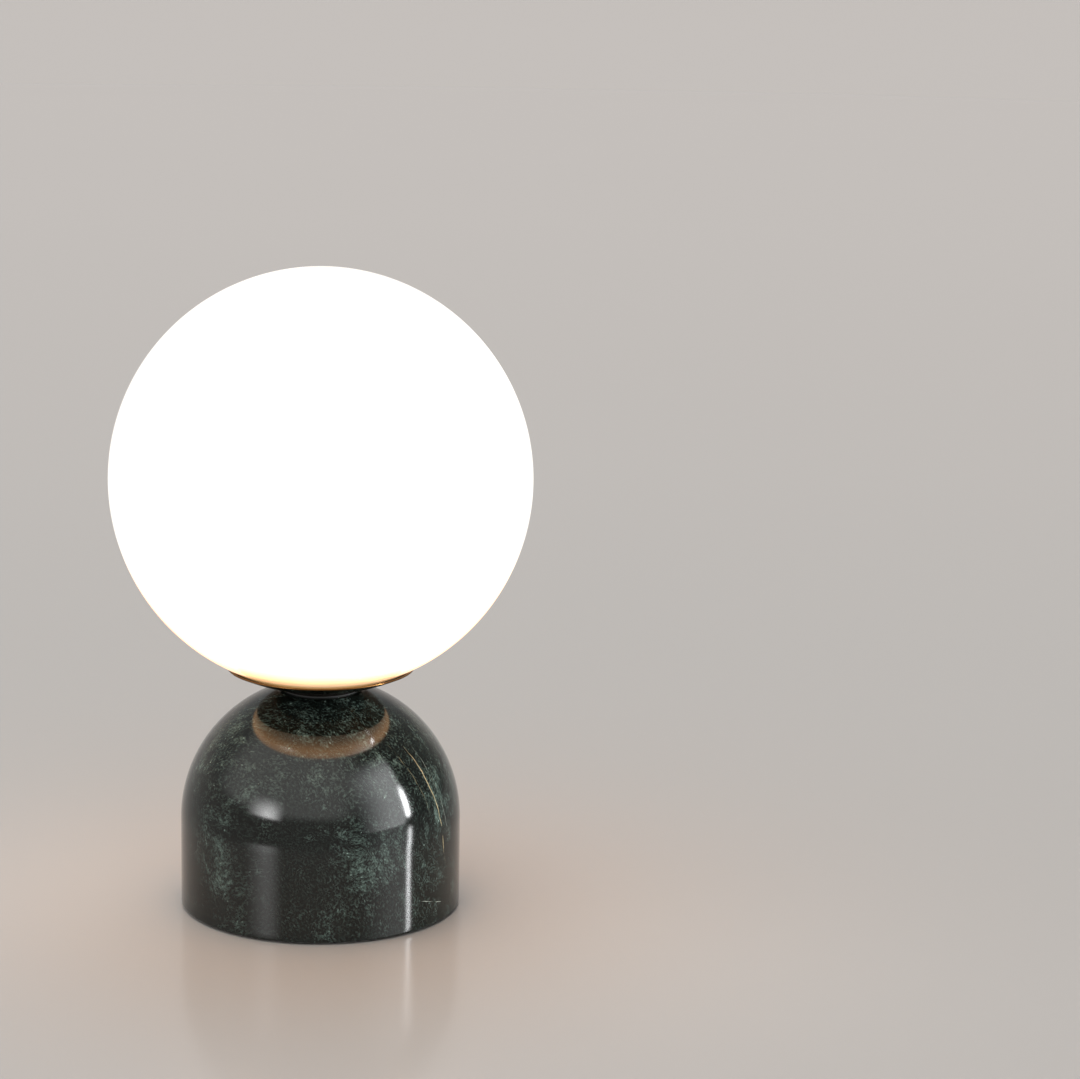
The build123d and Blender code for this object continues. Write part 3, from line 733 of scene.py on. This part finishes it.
def holder_ribs(finish):
    """Grip ribs around the lampholder's shell, partly sunk in it."""
    outline = arc((0, RIBS_LOW_Z), RIB_R, -90, 0, 3) + arc((0, RIBS_HIGH_Z), RIB_R, 0, 90, 3)
    outline[0], outline[-1] = (0.0, RIBS_LOW_Z - RIB_R), (0.0, RIBS_HIGH_Z + RIB_R)
    ribs = turned("holder_ribs", outline, steps=8)
    tree = ring_of_copies()
    modifier = ribs.modifiers.new("around", "NODES")
    modifier.node_group = tree
    values = {"Count": RIB_COUNT, "Circle radius": (HOLDER_R - RIB_SINK) * MM, "Finish": finish}
    for socket in tree.interface.items_tree:
        if socket.item_type == "SOCKET" and socket.name in values:
            modifier[socket.identifier] = values[socket.name]
    made_plain(ribs).shade_smooth()
    return ribs


def felt_ring():
    """Soft ring under the stone, with pressed, rounded edges."""
    edge = 0.35
    inner_r, outer_r = PAD_IN_R + edge, PAD_OUT_R - edge
    low_z, high_z = edge, BASE_LOW_Z - edge
    corners = ((outer_r, low_z, -90), (outer_r, high_z, 0), (inner_r, high_z, 90), (inner_r, low_z, 180))
    outline = []
    for r, z, start in corners:
        outline += arc((r, z), edge, start, start + 90, 4)
    return turned("felt_ring", outline, steps=192)


# Camera and studio


def place_camera():
    """Camera at the photograph's angle, with its slight lean."""
    back = Vector((0, -math.cos(CAMERA_PITCH), math.sin(CAMERA_PITCH)))
    right = Vector((1, 0, 0))
    up = back.cross(right)
    spot = Vector((0, 0, CAMERA_AIM_Z)) + back * CAMERA_DISTANCE + right * CAMERA_RIGHT + up * CAMERA_UP
    lean = Matrix.Rotation(CAMERA_ROLL, 3, back)
    turn = Matrix((lean @ right, lean @ up, back)).transposed()
    lens = bpy.data.cameras.new("camera")
    lens.sensor_width = 36.0
    lens.lens = FOCAL_PX / PHOTO_W * lens.sensor_width
    lens.clip_end = 100.0
    camera = add_object("camera", lens)
    camera.matrix_world = Matrix.Translation(spot) @ turn.to_4x4()
    bpy.context.scene.camera = camera


def lay_floor():
    """A wide round floor under the lamp."""
    mesh = bpy.data.meshes.new("floor")
    form = bmesh.new()
    bmesh.ops.create_circle(form, cap_ends=True, radius=FLOOR_R, segments=64)
    form.to_mesh(mesh)
    form.free()
    floor = add_object("floor", mesh)
    floor.data.materials.append(pale_floor())
    return floor


def soft_edges(tree, soft):
    """Makes a light fade in from each side of its panel, over the shares in soft: left, right, low, high."""
    left, right, low, high = soft
    spot = add(tree, "ShaderNodeNewGeometry").outputs["Parametric"]
    sides = add(tree, "ShaderNodeSeparateXYZ", {"Vector": spot})
    glow = 1.0
    for side, near, far in (("X", left, right), ("Y", low, high)):
        glow = math_node(tree, "MULTIPLY", glow, fade(tree, sides.outputs[side], 0.0, near))
        rest = math_node(tree, "SUBTRACT", 1.0, sides.outputs[side])
        glow = math_node(tree, "MULTIPLY", glow, fade(tree, rest, 0.0, far))
    tree.links.new(glow, tree.nodes["Emission"].inputs["Strength"])


def softbox(name, azimuth, elevation, across, tall, radiance, soft, tint):
    """Lamp panel facing the base from a bearing (0 in front, positive to the right), sized in degrees."""
    light = bpy.data.lights.new(name, "AREA")
    light.shape = "RECTANGLE"
    light.size = 2 * STUDIO_R * math.tan(math.radians(across / 2))
    light.size_y = 2 * STUDIO_R * math.tan(math.radians(tall / 2))
    light.energy = radiance * math.pi * light.size * light.size_y
    light.color = tint
    light.use_nodes = True
    soft_edges(light.node_tree, soft)
    a, e = math.radians(azimuth), math.radians(elevation)
    away = Vector((math.sin(a) * math.cos(e), -math.cos(a) * math.cos(e), math.sin(e)))
    lamp = add_object(name, light)
    lamp.location = away * STUDIO_R
    lamp.rotation_mode = "QUATERNION"
    lamp.rotation_quaternion = away.to_track_quat("Z", "Y")
    return lamp


def floor_links(name, floor, state):
    """Collection that links lights to the floor alone (INCLUDE), or to all but the floor (EXCLUDE)."""
    links = bpy.data.collections.new(name)
    links.objects.link(floor)
    links.collection_objects[0].light_linking.link_state = state
    return links


def light_studio(floor):
    """A tall window at the right with a bright edge, a small one at the left, and a light above the floor.

    The windows leave the floor out, so that their glare doesn't wash it out when seen from behind. Each has a
    fainter twin below the horizon, as its mirror image in a polished surface under the lamp."""
    all_but_floor = floor_links("all_but_floor", floor, "EXCLUDE")
    for name, azimuth, elevation, across, tall, radiance, mirrored, soft, tint in WINDOWS:
        window = softbox(name, azimuth, elevation, across, tall, radiance, soft, tint)
        window.light_linking.receiver_collection = all_but_floor
        left, right, low, high = soft
        upturned = (left, right, high, low)
        twin = softbox(name + "_mirrored", azimuth, -elevation, across, tall, mirrored, upturned, tint)
        twin.light_linking.receiver_collection = all_but_floor
        twin.light_linking.blocker_collection = all_but_floor
    above = softbox(*FLOOR_LIGHT)
    above.light_linking.receiver_collection = floor_links("floor_alone", floor, "INCLUDE")


def set_world():
    """Studio all around: low backdrop and ceiling, both darker at the right, and a lit area in front."""
    world = bpy.data.worlds.new("studio")
    bpy.context.scene.world = world
    world.use_nodes = True
    tree = world.node_tree
    tree.nodes.clear()
    bearing = add(tree, "ShaderNodeTexCoord").outputs["Generated"]
    parts = add(tree, "ShaderNodeSeparateXYZ", {"Vector": bearing}).outputs
    sideways, height = parts["X"], parts["Z"]
    darkens = fade(tree, sideways, *CEILING_DARKENS)
    ceiling = blend_colour(tree, darkens, colour(CEILING_TONE), colour(CEILING_RIGHT_TONE))
    darkens = fade(tree, sideways, *HORIZON_DARKENS)
    horizon = blend_colour(tree, darkens, colour(HORIZON_TONE), colour(HORIZON_RIGHT_TONE))
    tone = blend_colour(tree, fade(tree, height, *CEILING_RISE), horizon, ceiling)
    aim = Vector(FRONT_BEARING).normalized()
    toward = add(tree, "ShaderNodeVectorMath", {0: bearing, 1: aim}, operation="DOT_PRODUCT").outputs["Value"]
    lit = math_node(tree, "MULTIPLY", fade(tree, toward, *FRONT_SPREAD), fade(tree, height, *FRONT_RISE))
    tone = blend_colour(tree, lit, tone, colour(FRONT_TONE))
    shine = add(tree, "ShaderNodeBackground", {"Color": tone, "Strength": 1.0})
    sink = tree.nodes.new("ShaderNodeOutputWorld")
    tree.links.new(shine.outputs[0], sink.inputs["Surface"])


# The lamp in its studio


def dress(piece, material, body, slot, *nodes):
    """Gives a piece its finish, its body and the nodes it stands for."""
    piece.data.materials.clear()
    piece.data.materials.append(material)
    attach(piece, body)
    if nodes:
        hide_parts(*nodes)


place_camera()
light_studio(lay_floor())
set_world()

# Metals: tone, tone of the darker patches, roughness and its spread. Moulded ones: tone, shade, roughness
finishes = {
    "marble": green_marble(),
    "felt": felt(),
    "steel": metal("zinc_steel", (0.62, 0.62, 0.60), (0.50, 0.50, 0.50), 0.28, 0.12),
    "spring_steel": metal("spring_steel", (0.48, 0.49, 0.50), (0.36, 0.37, 0.38), 0.22, 0.10),
    "insert_brass": metal("plain_brass", (0.72, 0.55, 0.27), (0.58, 0.42, 0.18), 0.25, 0.12),
    "polished_brass": metal("dark_brass", (0.17, 0.088, 0.030), (0.12, 0.060, 0.019), 0.16, 0.08, lines=3000),
    "black_plastic": moulded("black_nylon", (0.018, 0.018, 0.018), (0.012, 0.012, 0.012), 0.45),
    "connector_plastic": moulded("natural_nylon", (0.80, 0.80, 0.74), (0.72, 0.72, 0.66), 0.5),
    "live_wire": moulded("brown_insulation", (0.20, 0.08, 0.03), (0.15, 0.06, 0.02), 0.4),
    "neutral_wire": moulded("blue_insulation", (0.03, 0.10, 0.38), (0.02, 0.07, 0.28), 0.4),
    "rubber": moulded("black_rubber", (0.02, 0.02, 0.02), (0.03, 0.03, 0.03), 0.6),
    "holder_plastic": moulded("white_thermoset", (0.55, 0.535, 0.50), (0.50, 0.485, 0.45), 0.28, coat=0.4),
    "holder_ceramic": moulded("steatite", (0.80, 0.77, 0.70), (0.72, 0.69, 0.62), 0.45),
    "bulb_metal": metal("nickel_sheet", (0.72, 0.71, 0.68), (0.60, 0.59, 0.57), 0.2, 0.1),
    "solder": metal("solder", (0.55, 0.55, 0.56), (0.42, 0.42, 0.43), 0.4, 0.2),
    "black_glass": moulded("black_glass", (0.01, 0.01, 0.01), (0.02, 0.02, 0.02), 0.12),
    "white_plastic": glowing("lit_diffuser", (0.62, 0.60, 0.57), (1.0, 0.86, 0.66), strength=0.42),
    "circuit_board": moulded("board_lacquer", (0.03, 0.16, 0.06), (0.02, 0.11, 0.04), 0.3),
    "led_aluminium": metal("board_aluminium", (0.85, 0.86, 0.86), (0.78, 0.79, 0.79), 0.35, 0.1),
    "phosphor": glowing("phosphor", (0.90, 0.72, 0.20), (1.0, 0.80, 0.50), strength=6.0),
    "opal_glass": opal_glass(),
}

# The bulb's housing is of the same plastic as its lit dome, but gives no light
housing_plastic = moulded("white_polycarbonate", (0.58, 0.57, 0.55), (0.53, 0.52, 0.50), 0.35)

slots = {entry["node"]: entry["material_slot"] for entry in frame["record"]["subparts"]}
for node, piece in frame["nodes"].items():
    piece.data.materials.clear()
    piece.data.materials.append(housing_plastic if node == "bulb_housing" else finishes[slots[node]])

dress(marble_block(), finishes["marble"], "lamp", "marble", "marble_base")
dress(glass_ball(), finishes["opal_glass"], "globe", "opal_glass", "glass_globe")
dress(brass_bowl(), finishes["polished_brass"], "lamp", "polished_brass", "brass_dish")
dress(holder_shell(), finishes["holder_plastic"], "lamp", "holder_plastic", "holder_barrel")
dress(holder_ribs(finishes["holder_plastic"]), finishes["holder_plastic"], "lamp", "holder_plastic")
dress(felt_ring(), finishes["felt"], "lamp", "felt", "foot_pad")

bpy.context.scene.view_settings.view_transform = "Standard"
